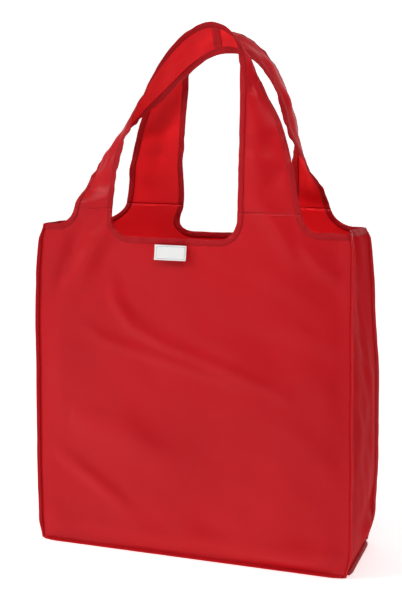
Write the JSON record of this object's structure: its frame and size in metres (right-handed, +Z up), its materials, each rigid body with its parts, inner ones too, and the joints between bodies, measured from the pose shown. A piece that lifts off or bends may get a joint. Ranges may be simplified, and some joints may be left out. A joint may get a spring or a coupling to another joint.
{
  "type": "foldable tote bag",
  "caption": "Thin coated-cloth shopping tote that stands open as a box, with folding side gussets, bound edges, two twisted strap handles and a blank sewn label.",
  "frame": {"origin": "on the ground under the middle of the bag, half way between the front and back panels and between the gussets", "axes": "+Z up, -Y out of the front panel, which carries the label, +X to the right as seen from the front"},
  "size_m": [0.391, 0.131, 0.6059],
  "materials": {
    "red_cloth": "thin coated polyester cloth, semi-gloss red, fine plain weave",
    "binding_tape": "red binding tape folded over the edge, edge-stitched, slightly puckered",
    "sewn_seam": "doubled red cloth, pinched and edge-stitched",
    "label_cloth": "white woven label, satin, blank"
  },
  "bodies": {
    "front": {"front_panel": "red_cloth", "front_scoop_binding": "binding_tape", "front_shoulder_binding_left": "binding_tape", "front_shoulder_binding_right": "binding_tape", "front_corner_seam_left": "sewn_seam", "front_corner_seam_right": "sewn_seam", "front_base_seam": "sewn_seam"},
    "front_roots": {"front_strap_root_left": "red_cloth", "front_root_inner_binding_left": "binding_tape", "front_root_outer_binding_left": "binding_tape", "front_strap_root_right": "red_cloth", "front_root_inner_binding_right": "binding_tape", "front_root_outer_binding_right": "binding_tape"},
    "front_handle": {"front_strap_left": "red_cloth", "front_strap_right": "red_cloth", "front_handle_seam": "sewn_seam", "front_handle_inner_binding": "binding_tape", "front_handle_outer_binding": "binding_tape"},
    "back": {"back_panel": "red_cloth", "back_scoop_binding": "binding_tape", "back_shoulder_binding_left": "binding_tape", "back_shoulder_binding_right": "binding_tape", "back_corner_seam_left": "sewn_seam", "back_corner_seam_right": "sewn_seam", "back_base_seam": "sewn_seam"},
    "back_roots": {"back_strap_root_left": "red_cloth", "back_root_inner_binding_left": "binding_tape", "back_root_outer_binding_left": "binding_tape", "back_strap_root_right": "red_cloth", "back_root_inner_binding_right": "binding_tape", "back_root_outer_binding_right": "binding_tape"},
    "back_handle": {"back_strap_left": "red_cloth", "back_strap_right": "red_cloth", "back_handle_seam": "sewn_seam", "back_handle_inner_binding": "binding_tape", "back_handle_outer_binding": "binding_tape"},
    "right_gusset_front": {"right_gusset_front": "red_cloth", "right_hem_binding_front": "binding_tape"},
    "right_gusset_back": {"right_gusset_back": "red_cloth", "right_hem_binding_back": "binding_tape"},
    "left_gusset_front": {"left_gusset_front": "red_cloth", "left_hem_binding_front": "binding_tape"},
    "left_gusset_back": {"left_gusset_back": "red_cloth", "left_hem_binding_back": "binding_tape"},
    "base": {"base_panel": "red_cloth", "base_pleat_right": "red_cloth", "base_pleat_left": "red_cloth", "base_side_seam_right": "sewn_seam", "base_side_seam_left": "sewn_seam"},
    "label": {"label": "label_cloth"}
  },
  "joints": [
    {"name": "bag_fold", "type": "hinge", "parent": "front", "child": "right_gusset_front", "pos_m": [0.19, -0.0578, 0], "axis": [0, 0.0591, 0.9983], "range_deg": [0, 80]},
    {"name": "right_crease", "type": "hinge", "parent": "right_gusset_front", "child": "right_gusset_back", "pos_m": [0.1911, 0, 0], "axis": [0, 0, 1], "range_deg": [-160, 0]},
    {"name": "back_close", "type": "hinge", "parent": "right_gusset_back", "child": "back", "pos_m": [0.19, 0.0578, 0], "axis": [0, -0.0591, 0.9983], "range_deg": [0, 80]},
    {"name": "left_gusset_fold", "type": "hinge", "parent": "front", "child": "left_gusset_front", "pos_m": [-0.19, -0.0578, 0], "axis": [0, -0.0591, -0.9983], "range_deg": [0, 80]},
    {"name": "left_crease", "type": "hinge", "parent": "left_gusset_front", "child": "left_gusset_back", "pos_m": [-0.1911, 0, 0], "axis": [0, 0, -1], "range_deg": [-160, 0]},
    {"name": "base_lift", "type": "hinge", "parent": "front", "child": "base", "pos_m": [0, -0.058, 0.0004], "axis": [1, 0, 0], "range_deg": [0, 80], "deforming": ["base_pleat_right", "base_pleat_left", "base_side_seam_right", "base_side_seam_left"]},
    {"name": "front_strap_lean", "type": "hinge", "parent": "front", "child": "front_roots", "pos_m": [0, -0.03639, 0.3988], "axis": [1, 0, 0], "range_deg": [0, 21]},
    {"name": "back_strap_lean", "type": "hinge", "parent": "back", "child": "back_roots", "pos_m": [0, 0.03639, 0.3988], "axis": [-1, 0, 0], "range_deg": [0, 21]},
    {"name": "front_handle_fold", "type": "hinge", "parent": "front_roots", "child": "front_handle", "pos_m": [0, -0.04362, 0.44581], "axis": [1, 0, 0], "range_deg": [0, 165]},
    {"name": "back_handle_fold", "type": "hinge", "parent": "back_roots", "child": "back_handle", "pos_m": [0, 0.04362, 0.44581], "axis": [-1, 0, 0], "range_deg": [0, 165]},
    {"name": "label_flip", "type": "hinge", "parent": "front", "child": "label", "pos_m": [-0.026, -0.03987, 0.36024], "axis": [-1, 0, 0], "range_deg": [0, 150]}
  ],
  "couplings": [
    {"joint": "right_crease", "follows": "bag_fold", "ratio": -2},
    {"joint": "back_close", "follows": "bag_fold", "ratio": 1},
    {"joint": "left_gusset_fold", "follows": "bag_fold", "ratio": 1},
    {"joint": "left_crease", "follows": "bag_fold", "ratio": -2},
    {"joint": "base_lift", "follows": "bag_fold", "ratio": 1},
    {"joint": "front_strap_lean", "follows": "bag_fold", "ratio": 0.262},
    {"joint": "back_strap_lean", "follows": "bag_fold", "ratio": 0.262}
  ]
}
